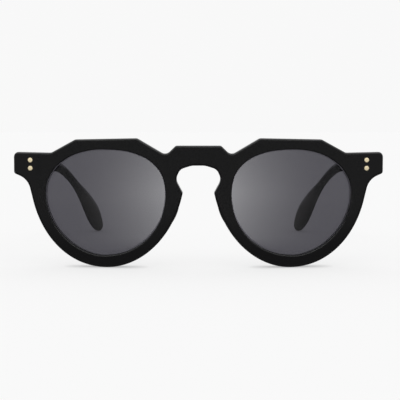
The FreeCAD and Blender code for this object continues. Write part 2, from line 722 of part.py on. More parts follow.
def turned_body(name, profile):
    """A body turned about its own Z axis from a closed profile of (radius, height) expressions."""
    body = doc.addObject("PartDesign::Body", name)
    sketch = body.newObject("Sketcher::SketchObject", name + "_profile")
    sketch.AttachmentSupport = [(origin_plane(body, "XZ_Plane"), "")]
    sketch.MapMode = "FlatFace"
    count = len(profile)
    for index in range(count):
        start, end = Vector(index, index * index, 0), Vector(index + 1, (index + 1) ** 2, 0)
        sketch.addGeometry(Part.LineSegment(start, end), False)
    for index in range(count):
        sketch.addConstraint(Sketcher.Constraint("Coincident", index, 2, (index + 1) % count, 1))
    for index, (radius, height) in enumerate(profile):
        for kind, expression in (("DistanceX", radius), ("DistanceY", height)):
            if expression == "0":
                fixed = "PointOnObject"
                axis = -2 if kind == "DistanceX" else -1
                sketch.addConstraint(Sketcher.Constraint(fixed, index, 1, axis))
                continue
            number = sketch.addConstraint(Sketcher.Constraint(kind, -1, 1, index, 1, 1.0 + index))
            sketch.setExpression("Constraints[%d]" % number, expression)
    turned = body.newObject("PartDesign::Revolution", name + "_turned")
    turned.Profile = sketch
    turned.ReferenceAxis = (sketch, ["V_Axis"])
    turned.Angle = 360
    body.Tip = turned
    return body


def head_fillet(body, radius_alias):
    """Round the upper edge of a turned body's head."""
    doc.recompute()
    turned = body.Tip
    top = turned.Shape.BoundBox.ZMax
    edges = ["Edge%d" % n for n, edge in enumerate(turned.Shape.Edges, 1)
             if abs(edge.BoundBox.ZMin - top) < TOUCH and edge.isClosed()]
    rounding = body.newObject("PartDesign::Fillet", body.Name + "_rounding")
    rounding.Base = (turned, edges)
    rounding.setExpression("Radius", "Sizes." + radius_alias)
    body.Tip = rounding
    return body


def rivet(name, length):
    """Peened tail, shank and rounded head, from the tail's end at the body's origin."""
    shank = "Sizes.rivet_shank_radius"
    head = "Sizes.rivet_head_radius"
    tail = "Sizes.rivet_tail_radius"
    under_head = "%s - Sizes.rivet_head_height" % length
    profile = [("0", "0"), (tail, "0"), (tail, "Sizes.rivet_tail_height"), (shank, "Sizes.rivet_tail_height"),
               (shank, under_head), (head, under_head), (head, length), ("0", length)]
    return head_fillet(turned_body(name, profile), "rivet_rounding")


def hinge_screw():
    """Slotted screw: tip, shank and head, which rests on the upper knuckle."""
    shank = "Sizes.pin_radius"
    head = "Sizes.screw_head_radius"
    under_head = "Sizes.screw_tip_length + Places.hinge_height + Sizes.screw_head_gap"
    top = under_head + " + Sizes.screw_head_height"
    profile = [("0", "0"), (shank, "0"), (shank, under_head), (head, under_head), (head, top), ("0", top)]
    body = turned_body("hinge_screw_turned", profile)
    bind(body, x="Places.hinge_x", y="Places.hinge_y", z="Places.hinge_base - Sizes.screw_tip_length")
    slot = block("hinge_screw_slot", Length="2 * Sizes.screw_head_radius", Width="Sizes.screw_slot_width",
                 Height="Sizes.screw_head_height",
                 x="Places.hinge_x - Sizes.screw_head_radius", y="Places.hinge_y - Sizes.screw_slot_width / 2",
                 z="Places.hinge_base - Sizes.screw_tip_length + %s - Sizes.screw_slot_depth" % top)
    return cut("left_hinge_screw", body, [slot])


def front_rivet(side):
    """A rivet through the end piece and the front leaf, its head on the front's face."""
    x = "Places.front_rivet_x"
    face = "Places.front_plane + Sizes.bend_radius - sqrt(Sizes.bend_radius ^ 2 - %s ^ 2)" % x
    rear = "Places.end_plane + Places.leaf_proud"
    length = "(%s) + Sizes.rivet_tail_height - (%s) + Sizes.rivet_proud" % (rear, face)
    body = rivet("left_front_rivet_" + side, length)
    body.Placement = FreeCAD.Placement(Vector(), Rotation(Vector(0, 0, 1), Vector(0, -1, 0)))
    return bind(body, x=x, y=rear + " + Sizes.rivet_tail_height", z="Places.hinge_z " + RIVET_SIDES[side])


def temple_rivet(which):
    """A rivet through the temple and its leaf, its head on the temple's outer face."""
    toe = "(%s + Sizes.knuckle_radius) * tan(Sizes.temple_toe * 1deg)" % TEMPLE_RIVETS[which]
    inner = "Places.temple_face + Sizes.leaf_sink - Sizes.leaf_thickness - Sizes.rivet_tail_height"
    outer = "Places.temple_face + Sizes.temple_thickness - %s + Sizes.rivet_proud" % toe
    body = rivet("left_temple_rivet_" + which, "(%s) - (%s)" % (outer, inner))
    body.Placement = FreeCAD.Placement(Vector(), Rotation(Vector(0, 0, 1), Vector(1, 0, 0)))
    return bind(body, x=inner, y="Places.hinge_y + " + TEMPLE_RIVETS[which], z="Places.hinge_z")


def end_cuts():
    """Flat back of the end piece and the leaf's seat in it, for +X."""
    flat = block("end_flat", Length="Places.cut_reach", Width="Places.cut_reach",
                 Height="2 * Places.cut_reach",
                 x="Places.hinge_x - Sizes.front_leaf_reach - Sizes.leaf_gap", y="Places.end_plane",
                 z="Places.hinge_z - Places.cut_reach")
    seat = block("end_seat", Length="Sizes.front_leaf_reach + Sizes.knuckle_radius + 2 * Sizes.leaf_gap",
                 Width="Places.cut_reach", Height="Places.hinge_height + 2 * Sizes.leaf_gap",
                 x="Places.hinge_x - Sizes.front_leaf_reach - Sizes.leaf_gap",
                 y="Places.end_plane - Sizes.leaf_sink - Sizes.leaf_gap", z="Places.hinge_base - Sizes.leaf_gap")
    holes = [front_rivet_hole("end_hole_" + side, side, "Sizes.rivet_shank_radius") for side in RIVET_SIDES]
    face = "Places.front_plane + Sizes.bend_radius - sqrt(Sizes.bend_radius ^ 2 - Places.front_rivet_x ^ 2)"
    sinks = []
    for side in RIVET_SIDES:
        sinks.append(rod("end_sink_" + side, Y_AXIS, Radius="Sizes.rivet_head_radius + Sizes.rivet_gap",
                         Height="2 * Sizes.rivet_head_height + Sizes.rivet_gap - Sizes.rivet_proud",
                         x="Places.front_rivet_x", y=face + " - Sizes.rivet_head_height",
                         z="Places.hinge_z " + RIVET_SIDES[side]))
    return [flat, seat] + holes + sinks


def temple_cuts():
    """What is cut from the temple blank: its butt end, knuckle relief, leaf seat and rivet holes."""
    height = "2 * Places.cut_reach"
    foot = "Places.hinge_z - Places.cut_reach"
    clear_radius = "Sizes.knuckle_radius + Sizes.knuckle_clearance"
    butt = block("temple_butt", Length="Places.cut_reach", Width="Places.cut_reach", Height=height,
                 x="Places.temple_face - Places.cut_reach / 2",
                 y="Places.end_plane + Sizes.butt_gap - Places.cut_reach", z=foot)
    relief = rod("temple_relief", Radius=clear_radius, Height=height,
                 x="Places.hinge_x", y="Places.hinge_y", z=foot)
    corner = block("temple_corner", Length="Places.cut_reach / 2",
                   Width="Places.hinge_y - Places.end_plane", Height=height,
                   x="Places.hinge_x + %s - Places.cut_reach / 2" % clear_radius, y="Places.end_plane", z=foot)
    seat = block("temple_seat", Length="Sizes.temple_thickness",
                 Width="Sizes.temple_leaf_length + 2 * Sizes.knuckle_radius",
                 Height="Places.hinge_height - 2 * Sizes.knuckle_height + 2 * Sizes.leaf_gap",
                 x="Places.temple_face + Sizes.leaf_sink + Sizes.leaf_gap - Sizes.temple_thickness",
                 y="Places.temple_leaf_start - 2 * Sizes.knuckle_radius + Sizes.leaf_gap",
                 z="Places.hinge_base + Sizes.knuckle_height - Sizes.leaf_gap")
    holes = [temple_rivet_hole("temple_hole_" + which, which, "Sizes.rivet_shank_radius")
             for which in TEMPLE_RIVETS]
    sinks = []
    for which, offset in TEMPLE_RIVETS.items():
        toe = "(%s + Sizes.knuckle_radius) * tan(Sizes.temple_toe * 1deg)" % offset
        sinks.append(rod("temple_sink_" + which, X_AXIS, Radius="Sizes.rivet_head_radius + Sizes.rivet_gap",
                         Height="Sizes.temple_thickness",
                         x="Places.temple_face + Sizes.temple_thickness - %s + Sizes.rivet_proud"
                           " - Sizes.rivet_head_height - Sizes.rivet_gap" % toe,
                         y="Places.hinge_y + " + offset, z="Places.hinge_z"))
    return [butt, relief, corner, seat] + holes + sinks


def mirrored(source, label):
    """The wearer's right copy of a left piece."""
    item = doc.addObject("Part::Mirroring", label)
    item.Source = source
    item.Normal = Vector(1, 0, 0)
    item.Base = Vector()
    return item


# Acetate, lenses and cores.
cuts_left = end_cuts()
cuts_right = [mirrored(tool, tool.Name + "_right") for tool in cuts_left]
front_blank = feature("front_blank", opened_front())
front_frame = cut("front_frame", front_blank, cuts_left + cuts_right)
doc.recompute()
left_pieces = {
    "lens": feature("left_lens", lens_shape()),
    "nose_pad": feature("left_nose_pad", nose_pad()),
    "core_wire": feature("left_core_wire", core_wire(size("core_radius"))),
    "front_hinge": front_leaf(),
    "temple_hinge": temple_leaf(),
    "hinge_screw": hinge_screw(),
}
core_space = feature("core_space", core_wire(size("core_radius") + size("core_gap")))
left_pieces["temple"] = cut("left_temple", feature("temple_blank", temple_blank()), temple_cuts() + [core_space])
for rivet_side in RIVET_SIDES:
    left_pieces["front_rivet_" + rivet_side] = front_rivet(rivet_side)
for rivet_place in TEMPLE_RIVETS:
    left_pieces["temple_rivet_" + rivet_place] = temple_rivet(rivet_place)

nodes = [front_frame]
for label, piece in left_pieces.items():
    nodes.append(piece)
    nodes.append(mirrored(piece, "right_" + label))
doc.recompute()

for item in doc.Objects:
    if "Invalid" in item.State or "Error" in item.State:
        raise RuntimeError("%s failed: %s" % (item.Name, item.State))

os.makedirs("parts", exist_ok=True)
for node in nodes:
    shape = node.Shape
    if shape.isNull() or not shape.isValid() or not shape.Solids:
        raise RuntimeError("%s has no valid solid" % node.Label)
    box = shape.BoundBox
    print("%-26s %2d solid %9.2f mm3  X %7.2f %7.2f  Y %7.2f %7.2f  Z %6.2f %6.2f" % (
        node.Label, len(shape.Solids), shape.Volume, box.XMin, box.XMax, box.YMin, box.YMax, box.ZMin, box.ZMax))
    shape.exportStep("parts/%s.step" % node.Label)
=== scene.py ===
import math

import bmesh
import bpy
import numpy as np
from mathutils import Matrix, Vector
from mathutils.geometry import delaunay_2d_cdt


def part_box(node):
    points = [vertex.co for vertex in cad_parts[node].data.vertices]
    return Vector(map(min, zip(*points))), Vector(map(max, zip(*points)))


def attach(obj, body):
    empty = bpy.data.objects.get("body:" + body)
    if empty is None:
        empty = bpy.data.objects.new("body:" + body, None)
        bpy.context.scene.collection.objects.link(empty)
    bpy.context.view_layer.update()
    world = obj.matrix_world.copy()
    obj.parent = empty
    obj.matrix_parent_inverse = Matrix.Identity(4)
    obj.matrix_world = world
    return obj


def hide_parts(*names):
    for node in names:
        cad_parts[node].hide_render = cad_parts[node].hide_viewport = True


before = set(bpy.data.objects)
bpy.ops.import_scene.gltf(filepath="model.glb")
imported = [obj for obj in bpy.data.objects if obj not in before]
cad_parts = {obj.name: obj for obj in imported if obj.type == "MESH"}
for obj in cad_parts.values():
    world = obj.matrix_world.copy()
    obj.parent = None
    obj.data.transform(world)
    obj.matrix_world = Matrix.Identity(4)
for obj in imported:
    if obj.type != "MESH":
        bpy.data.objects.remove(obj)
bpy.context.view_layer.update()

# Round acetate sunglasses. Shapes are worked out in millimetres and put into the meshes in metres.
# +X is the wearer's left, the front faces -Y, and the floor is at Z = 0.
MM = 0.001

SIDES = {"left": 1, "right": -1}
BODIES = {"left": "left_arm", "right": "right_arm"}

scene = bpy.context.scene
scene.view_settings.view_transform = "Standard"

# The front: a sheet of acetate, bent about an upright axis.
FRONT_WIDTH = 143.0
FRONT_THICKNESS = 5.5
BEND_RADIUS = 350.0
END_X = FRONT_WIDTH / 2
END_THICKNESS = 3.9
END_HEIGHT = 8.25
FRONT_ROUNDING = 0.9
REAR_ROUNDING = 0.7
OPENING_ROUNDING = 0.45

# The lens opening, from its widest line and its lowest point.
OPENING_EDGE = 12.5
REACH_NASAL = 23.95
REACH_TEMPORAL = 22.75
OPENING_RISE = 17.25
OPENING_DROP = 23.45
UPPER_TEMPORAL_POWER = 2.09
UPPER_NASAL_POWER = 2.40
LOWER_TEMPORAL_POWER = 1.86
LOWER_NASAL_POWER = 2.06
RIM_BOTTOM = 4.53
WIDEST_LINE = RIM_BOTTOM + OPENING_DROP
LENS_X = OPENING_EDGE + REACH_NASAL
END_TOP = WIDEST_LINE + 16.26

# The front's mesh: the distance between points along the walls and in the net over the faces, the
# net's distance from the walls, the flat ring beside each rounded edge, and the edges' steps.
WALL_SPACING = 0.27
NET_SPACING = 1.5
NET_CLEAR = 0.8
FACE_MARGIN = 0.18
FRONT_STEPS = 8
REAR_STEPS = 7

# The lens: two spheres about one centre, set back a little from the front's face.
LENS_RADIUS = 132.0
LENS_THICKNESS = 2.0
LENS_DEPTH = 0.6
LENS_GAP = 0.03
BEVEL_DEPTH = 0.6

# The temple: it narrows from the front to a waist in the ear bend and widens again to its tip.
# Its line starts with a small fall and turn towards the head, bends down over the ear and bows in.
TEMPLE_LENGTH = 144.7
TEMPLE_HEIGHT = 7.8
WAIST_HEIGHT = 3.8
TIP_HEIGHT = 11.0
TIP_ROUND = 13.0
TEMPLE_THICKNESS = 3.8
TIP_THICKNESS = 3.1
TEMPLE_INSET = 0.6
TEMPLE_DROP = 0.515
TEMPLE_X = END_X - TEMPLE_INSET - TEMPLE_THICKNESS / 2
TEMPLE_Z = END_TOP - END_HEIGHT / 2 - TEMPLE_DROP
TEMPLE_GAP = 0.25
TEMPLE_EDGE = 0.35
FALL = math.radians(3.15)
TURN_IN = math.radians(1.54)
TIP_TURN_IN = math.radians(25.0)
BOW_START = 54.0
BEND_START = 72.9
EAR_RADIUS = 70.0
BEND_ANGLE = math.radians(42.5)
BEND_LENGTH = BEND_ANGLE * EAR_RADIUS
WAIST = BEND_START + BEND_LENGTH / 2
WIDENING_START = WAIST + 4.7
WIDENING_LENGTH = TEMPLE_LENGTH - 11.0 - WIDENING_START

# The tip stands higher on the centre line than the rest, and the part before it a little lower.
TIP_RISE = 1.0
TIP_END_DROP = 0.55
TIP_END_LENGTH = 9.0
HOLLOW_DEPTH = 0.28
HOLLOW_START = 85.0
HOLLOW_LENGTH = 45.0

# The nose pad: an oval behind the nasal rim, below the widest line, leaning as the nose does.
PAD_LENGTH = 13.5
PAD_THICKNESS = 4.0
PAD_DEPTH = 10.0
PAD_DROP = 7.0
PAD_LEAN = math.radians(19.0)
PAD_SPLAY = math.radians(24.0)

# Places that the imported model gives, and how far the temple stays from the hinge's axis.
FRONT_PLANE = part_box("front_frame")[0].y / MM
HINGE = (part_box("left_hinge_screw")[0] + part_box("left_hinge_screw")[1]) / 2 / MM
KNUCKLE_CLEAR = 1.72


def ramp(values, start, length):
    """0 up to the start, 1 past the length, and straight between."""
    return np.clip((values - start) / length, 0, 1)


def quarter_round(share):
    """How high a quarter circle has risen for a share of its run."""
    return np.sqrt(1 - (1 - share) ** 2)


def sag(x):
    """How far the front's face lies behind its foremost line: a circle of the bend's radius."""
    return BEND_RADIUS - np.sqrt(BEND_RADIUS ** 2 - x ** 2)


def rear_depth(x):
    """Depth of the rear: the face's circle less the thickness, flat behind the end pieces."""
    inner = BEND_RADIUS - FRONT_THICKNESS
    return np.minimum(BEND_RADIUS - np.sqrt(inner ** 2 - x ** 2), END_DEPTH)


END_DEPTH = float(sag(END_X)) + END_THICKNESS
END_PLANE = FRONT_PLANE + END_DEPTH


def superellipse(angle, reach_x, reach_z, power):
    """Points of |x/a|^p + |z/b|^p = 1, one for each parameter angle."""
    cosine, sine = np.cos(angle), np.sin(angle)
    x = np.sign(cosine) * reach_x * np.abs(cosine) ** (2 / power)
    z = np.sign(sine) * reach_z * np.abs(sine) ** (2 / power)
    return np.stack([x, z], axis=-1)


def section(count, power):
    """A ring of points on a superellipse that reaches 1 each way."""
    return superellipse(np.linspace(0, 2 * math.pi, count, endpoint=False), 1, 1, power)


def smooth_closed(points, count):
    """A smooth closed curve through evenly numbered points: their Fourier series, read densely."""
    spectrum = np.fft.fft(points[:, 0] + 1j * points[:, 1])
    half = len(points) // 2
    padded = np.zeros(count, complex)
    padded[:half] = spectrum[:half]
    padded[1 - half:] = spectrum[1 - half:]
    curve = np.fft.ifft(padded) * count / len(points)
    return np.stack([curve.real, curve.imag], axis=1)


def opening_curve(grow, count):
    """The panto opening about its own centre: four quarter superellipses, blended into one."""
    samples = 32
    angle = np.arange(samples) * 2 * math.pi / samples
    temporal = np.cos(angle) > -1e-9
    upper = np.sin(angle) > -1e-9
    reach_x = np.where(temporal, REACH_TEMPORAL, REACH_NASAL) + grow
    reach_z = np.where(upper, OPENING_RISE, OPENING_DROP) + grow
    upper_power = np.where(temporal, UPPER_TEMPORAL_POWER, UPPER_NASAL_POWER)
    lower_power = np.where(temporal, LOWER_TEMPORAL_POWER, LOWER_NASAL_POWER)
    power = np.where(upper, upper_power, lower_power)
    return smooth_closed(superellipse(angle, reach_x, reach_z, power), count)


def evenly(points, spacing):
    """A closed run of points, read again at even distances along its own length."""
    closed = np.vstack([points, points[:1]])
    steps = np.linalg.norm(np.diff(closed, axis=0), axis=1)
    along = np.concatenate([[0], np.cumsum(steps)])
    places = np.linspace(0, along[-1], int(along[-1] / spacing), endpoint=False)
    return np.stack([np.interp(places, along, closed[:, axis]) for axis in (0, 1)], axis=1)


def rounded_run(corners):
    """Points along straight runs between (x, z, radius) corners, each rounded by its radius."""
    arc_points = 24
    corners = np.array(corners, float)
    points = [corners[:1, :2]]
    for before, (x, z, radius), after in zip(corners[:-2], corners[1:-1], corners[2:]):
        corner = np.array([x, z])
        back = (before[:2] - corner) / np.linalg.norm(before[:2] - corner)
        ahead = (after[:2] - corner) / np.linalg.norm(after[:2] - corner)
        half = math.acos(float(back @ ahead)) / 2
        centre = corner + (back + ahead) / np.linalg.norm(back + ahead) * radius / math.sin(half)
        start = corner + back * radius / math.tan(half) - centre
        turn = (math.pi - 2 * half) * np.sign(back[1] * ahead[0] - back[0] * ahead[1])
        angle = math.atan2(start[1], start[0]) + np.linspace(0, turn, arc_points)
        points.append(centre + radius * np.stack([np.cos(angle), np.sin(angle)], axis=1))
    points.append(corners[-1:, :2])
    return np.vstack(points)


def front_outline():
    """The front's outline, symmetric about X = 0: crown, end piece, rim and keyhole.

    The rim is part of a superellipse that stands on the floor, fuller on its temporal side. The
    rest is straight runs with rounded corners.
    """
    rim_points = 200
    nasal_x = OPENING_EDGE - 7.37
    temporal_x = LENS_X + REACH_TEMPORAL + 6.17
    rim_centre = np.array([(nasal_x + temporal_x) / 2, WIDEST_LINE + 9.44])
    rim_reach = (temporal_x - nasal_x) / 2
    temporal_power, nasal_power = 2.08, 1.97

    def rim_angle(height, power):
        """The rim's parameter angle at a height."""
        return math.asin(((rim_centre[1] - height) / rim_centre[1]) ** (power / 2))

    first = rim_angle(WIDEST_LINE - 2.2, temporal_power)
    last = math.pi - rim_angle(WIDEST_LINE - 0.9, nasal_power)
    angle = -np.linspace(first, last, rim_points)
    power = np.where(np.cos(angle) >= 0, temporal_power, nasal_power)
    rim = rim_centre + superellipse(angle, rim_reach, rim_centre[1], power)

    # The line under the end piece and the keyhole's foot run on from the rim's two ends.
    temporal_way, nasal_way = rim[1] - rim[0], rim[-1] - rim[-2]
    underside = rim[0] - temporal_way / np.linalg.norm(temporal_way) * 8.06
    keyhole_foot = rim[-1] + nasal_way * (WIDEST_LINE + 0.71 - rim[-1, 1]) / nasal_way[1]
    opening_top = WIDEST_LINE + OPENING_RISE
    bridge_top = WIDEST_LINE + 18.79
    keyhole_top = WIDEST_LINE + 11.16
    upper = rounded_run([
        (0, bridge_top, 0),
        (OPENING_EDGE - 3.87, bridge_top, 1.2),
        (OPENING_EDGE - 0.12, WIDEST_LINE + 15.15, 2.54),
        (LENS_X - 13.06, opening_top + 4.36, 2.2),
        (LENS_X + 10.77, opening_top + 3.88, 2.2),
        (LENS_X + 20.24, END_TOP - 0.28, 2.5),
        (END_X, END_TOP, 1.88),
        (END_X, END_TOP - END_HEIGHT, 1.1),
        (*underside, 6.9),
        (*rim[0], 0),
    ])
    keyhole = rounded_run([
        (*rim[-1], 0),
        (*keyhole_foot, 1.3),
        (OPENING_EDGE - 3.78, WIDEST_LINE + 5.87, 3.4),
        (OPENING_EDGE - 5.48, WIDEST_LINE + 9.76, 3.4),
        (OPENING_EDGE - 9.98, keyhole_top, 7.0),
        (0, keyhole_top, 0),
    ])
    half = np.vstack([upper, rim[1:-1], keyhole])
    return np.vstack([half, half[-2:0:-1] * (-1, 1)])


def opening_outline(side):
    """The opening's outline in the front view, square to the bent sheet at the lens's place."""
    turn = math.asin(LENS_X / BEND_RADIUS)
    curve = opening_curve(0, 512)
    x = side * (LENS_X + curve[:, 0] * math.cos(turn))
    return np.stack([x, WIDEST_LINE + curve[:, 1]], axis=1)


def outward(loop):
    """Unit normals of a closed loop, to the right of its direction of travel."""
    way = np.roll(loop, -1, axis=0) - np.roll(loop, 1, axis=0)
    way = way / np.linalg.norm(way, axis=1, keepdims=True)
    return np.stack([way[:, 1], -way[:, 0]], axis=1)


def inside(points, loop):
    """Which points a closed loop surrounds: an upward ray crosses it an odd number of times."""
    ends = np.roll(loop, -1, axis=0)
    x, z = points[:, :1], points[:, 1:]
    spans = (loop[:, 0] > x) != (ends[:, 0] > x)
    width = np.where(ends[:, 0] == loop[:, 0], 1, ends[:, 0] - loop[:, 0])
    height = loop[:, 1] + (x - loop[:, 0]) / width * (ends[:, 1] - loop[:, 1])
    return (spans & (height > z)).sum(axis=1) % 2 == 1


def in_acetate(points, rims):
    """Which points lie inside the first rim and outside the two others."""
    return inside(points, rims[0]) & ~inside(points, rims[1]) & ~inside(points, rims[2])


def quads(rows, columns, first=0):
    """Faces between neighbouring rows of a grid whose columns close round on themselves."""
    row = np.arange(rows - 1)[:, None] * columns
    column = np.arange(columns)
    ahead = (column + 1) % columns
    corners = [row + column, row + ahead, row + ahead + columns, row + column + columns]
    return (first + np.stack(corners, axis=-1).reshape(-1, 4)).tolist()


def fan(ring, hub):
    """Triangles from a ring of vertices to the one at its hub."""
    return np.stack([ring, np.roll(ring, -1), np.full(len(ring), hub)], axis=1).tolist()


def capped(grid, *hubs):
    """Vertices and faces of a grid of rings, closed by a fan at its first ring and its last.

    With one hub only the first ring gets a fan, because the last one has shrunk to a point.
    """
    rows, columns = grid.shape[:2]
    faces = quads(rows, columns)
    for number, row in zip(range(len(hubs)), (0, rows - 1)):
        faces += fan(row * columns + np.arange(columns), rows * columns + number)
    return np.vstack([grid.reshape(-1, 3), *hubs]), faces


def dress(name, vertices, faces, finish, body, nodes, sharp=180.0, matt=None):
    """A piece from its vertices in millimetres, with each vertex's share of the matt finish."""
    mesh = bpy.data.meshes.new(name)
    mesh.from_pydata((np.asarray(vertices) * MM).tolist(), [], faces)
    if matt is not None:
        mesh.attributes.new("matt", "FLOAT", "POINT").data.foreach_set("value", matt)
    return settle(name, mesh, finish, body, nodes, sharp)


def settle(name, mesh, finish, body, nodes, sharp):
    """Makes a piece of a mesh, which stands for its CAD nodes.

    The mesh's doubles are merged, its faces turned outwards and its edges smooth below an angle.
    """
    work = bmesh.new()
    work.from_mesh(mesh)
    bmesh.ops.remove_doubles(work, verts=work.verts, dist=1e-6)
    bmesh.ops.recalc_face_normals(work, faces=work.faces)
    work.to_mesh(mesh)
    work.free()
    mesh.shade_smooth()
    mesh.set_sharp_from_angle(angle=math.radians(sharp))
    mesh.materials.clear()
    mesh.materials.append(finish)
    piece = bpy.data.objects.new(name, mesh)
    scene.collection.objects.link(piece)
    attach(piece, body)
    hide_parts(*nodes)
    return piece


def edge_profile(rounding, steps):
    """Pairs of inset and depth along a quarter round edge, from the face's margin to the wall."""
    angle = np.linspace(0, math.pi / 2, steps)
    inset = np.concatenate([[rounding + FACE_MARGIN], rounding * (1 - np.sin(angle))])
    depth = np.concatenate([[0], rounding * (1 - np.cos(angle))])
    return np.stack([inset, depth], axis=1)


def walled_loop(loop, turn, front_rounding, rear_rounding):
    """A loop carried from the front's face over its wall to the rear, as rows of a grid.

    Each row is the loop moved into the acetate by the profile's inset and set back by its depth.
    """
    into = -turn * outward(loop)
    rows = []
    for inset, depth in edge_profile(front_rounding, FRONT_STEPS):
        x, z = (loop + into * inset).T
        rows.append(np.stack([x, FRONT_PLANE + sag(x) + depth, z], axis=1))
    for inset, rise in edge_profile(rear_rounding, REAR_STEPS)[::-1]:
        x, z = (loop + into * inset).T
        rows.append(np.stack([x, FRONT_PLANE + rear_depth(x) - rise, z], axis=1))
    return np.array(rows)


def net_points(rims):
    """Points over the acetate between the rims, staggered in rows for nearly even triangles."""
    x, z = np.meshgrid(np.arange(-END_X, END_X, NET_SPACING), np.arange(0, 50, NET_SPACING * 0.87))
    x[1::2] += NET_SPACING / 2
    net = np.stack([x.ravel(), z.ravel()], axis=1)
    net = net[in_acetate(net, rims)]
    for rim in rims:
        gap = np.linalg.norm(net[:, None] - rim[None, ::3], axis=2).min(axis=1)
        net = net[gap > NET_CLEAR]
    return net


def triangles_between(rims, net):
    """Delaunay triangles over the acetate, as numbers of the rims' points and then the net's."""
    borders, start = [], 0
    for rim in rims:
        ring = start + np.arange(len(rim))
        borders += np.stack([ring, np.roll(ring, -1)], axis=1).tolist()
        start += len(rim)
    points = [Vector(point) for point in np.vstack(rims + [net])]
    spots, _, cells, origin, _, _ = delaunay_2d_cdt(points, borders, [], 0, 1e-5)
    corners = np.array([[spots[corner][:] for corner in cell] for cell in cells])
    first_side, second_side = (corners[:, 1:] - corners[:, :1]).transpose(1, 0, 2)
    cross = np.abs(first_side[:, 0] * second_side[:, 1] - first_side[:, 1] * second_side[:, 0])
    # A flat triangle lies outside, between the rim and a straight run of its points.
    flatness = 1e-3
    flat = cross < flatness * (first_side ** 2 + second_side ** 2).sum(axis=1)
    kept = in_acetate(corners.mean(axis=1), rims) & ~flat
    return np.array([[origin[corner][0] for corner in cell]
                     for cell, keep in zip(cells, kept) if keep])


def front_piece(finish):
    """The front: walls along its three loops, and a net of triangles over its face and its rear."""
    loops = [evenly(front_outline(), WALL_SPACING)]
    loops += [evenly(opening_outline(side), WALL_SPACING) for side in SIDES.values()]
    vertices, faces, matt, rims, face_rings, rear_rings = [], [], [], [], [], []
    first = 0
    for loop in loops:
        outer = loop is loops[0]
        ahead = np.roll(loop, -1, axis=0)
        turn = np.sign(np.sum(loop[:, 0] * ahead[:, 1] - ahead[:, 0] * loop[:, 1]))
        roundings = (FRONT_ROUNDING, REAR_ROUNDING) if outer else (OPENING_ROUNDING,) * 2
        grid = walled_loop(loop, turn if outer else -turn, *roundings)
        rows, columns = grid.shape[:2]
        # The wall itself is the quads between the two edges' last rows, matt in the openings.
        wall = np.isin(np.arange(rows), (FRONT_STEPS, FRONT_STEPS + 1))
        matt.append(np.repeat(wall & (not outer), columns).astype(float))
        vertices.append(grid.reshape(-1, 3))
        faces += quads(rows, columns, first)
        rims.append(grid[0][:, [0, 2]])
        face_rings.append(first + np.arange(columns))
        rear_rings.append(first + (rows - 1) * columns + np.arange(columns))
        first += rows * columns
    net = net_points(rims)
    triangles = triangles_between(rims, net)
    for rings, depth in ((face_rings, sag), (rear_rings, rear_depth)):
        numbers = np.concatenate(rings + [first + np.arange(len(net))])
        vertices.append(np.stack([net[:, 0], FRONT_PLANE + depth(net[:, 0]), net[:, 1]], axis=1))
        faces += numbers[triangles].tolist()
        matt.append(np.zeros(len(net)))
        first += len(net)
    return dress("acetate_front", np.vstack(vertices), faces, finish, "front",
                 ["front_frame"], matt=np.concatenate(matt))


def to_lens_place(points, side):
    """Turns points from the lens's own frame square to the bent front, and to their side."""
    turn = math.asin(LENS_X / BEND_RADIUS)
    x = LENS_X + points[..., 0] * math.cos(turn) - points[..., 1] * math.sin(turn)
    y = FRONT_PLANE + float(sag(LENS_X))
    y = y + points[..., 0] * math.sin(turn) + points[..., 1] * math.cos(turn)
    return np.stack([side * x, y, WIDEST_LINE + points[..., 2]], axis=-1)


def lens_piece(side_name, finish):
    """A curved lens: rings from its centre to the rim curve on two spheres, and a bevel between."""
    rim_points, rings = 240, 28
    curve = opening_curve(-LENS_GAP, rim_points)
    shares = np.sin(np.linspace(0, math.pi / 2, rings))[1:]
    surfaces = []
    for radius in (LENS_RADIUS, LENS_RADIUS - LENS_THICKNESS):
        spots = shares[:, None, None] * curve
        y = LENS_DEPTH + LENS_RADIUS - np.sqrt(radius ** 2 - (spots ** 2).sum(axis=2))
        surfaces.append(np.stack([spots[..., 0], y, spots[..., 1]], axis=-1))
    front, rear = surfaces
    bevel = opening_curve(BEVEL_DEPTH, rim_points)
    middle = (front[-1, :, 1] + rear[-1, :, 1]) / 2
    ridge = np.stack([bevel[:, 0], middle, bevel[:, 1]], axis=1)
    vertices, faces = capped(np.vstack([front, ridge[None], rear[::-1]]),
                             [0, LENS_DEPTH, 0], [0, LENS_DEPTH + LENS_THICKNESS, 0])
    return dress(side_name + "_tinted_lens", to_lens_place(vertices, SIDES[side_name]), faces,
                 finish, "front", [side_name + "_lens"], 30.0)


